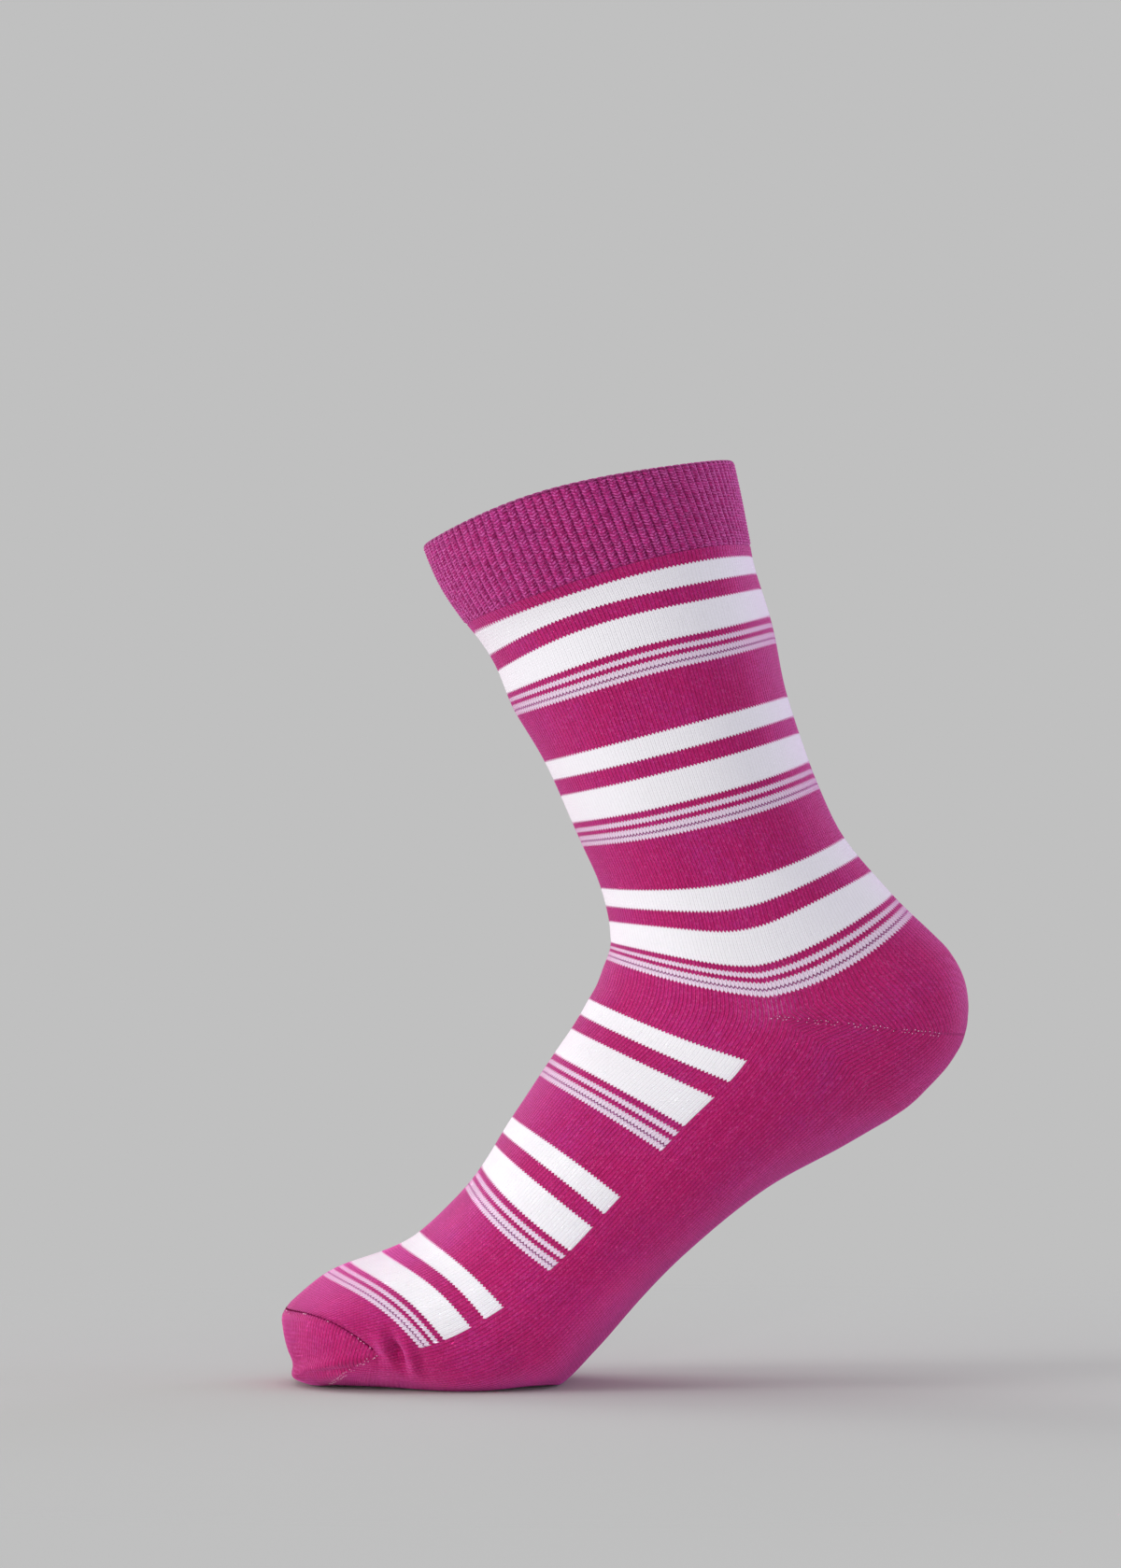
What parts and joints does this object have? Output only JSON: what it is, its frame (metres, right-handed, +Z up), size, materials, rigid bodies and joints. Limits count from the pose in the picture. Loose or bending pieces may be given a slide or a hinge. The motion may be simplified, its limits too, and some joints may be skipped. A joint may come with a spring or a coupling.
{
  "type": "striped knitted crew sock",
  "caption": "Knitted crew sock in worn shape with heel raised: ribbed double cuff, striped leg and instep, plain heel, sole and toe.",
  "frame": {"origin": "middle of the leg opening at the top of the cuff, where the wearer's leg holds the sock", "axes": "+Z up, -X towards the toe, +X towards the heel, +Y and -Y the two like sides"},
  "size_m": [0.2057, 0.089, 0.2755],
  "materials": {
    "rib_knit": "matte ribbed cotton knit, purple magenta",
    "striped_knit": "matte fine cotton jersey, magenta and white stripes",
    "plain_knit": "matte fine cotton jersey, plain magenta"
  },
  "bodies": {
    "root": {"cuff": "rib_knit", "leg": "striped_knit", "heel": "plain_knit", "foot": "striped_knit", "toe": "plain_knit"}
  },
  "joints": []
}
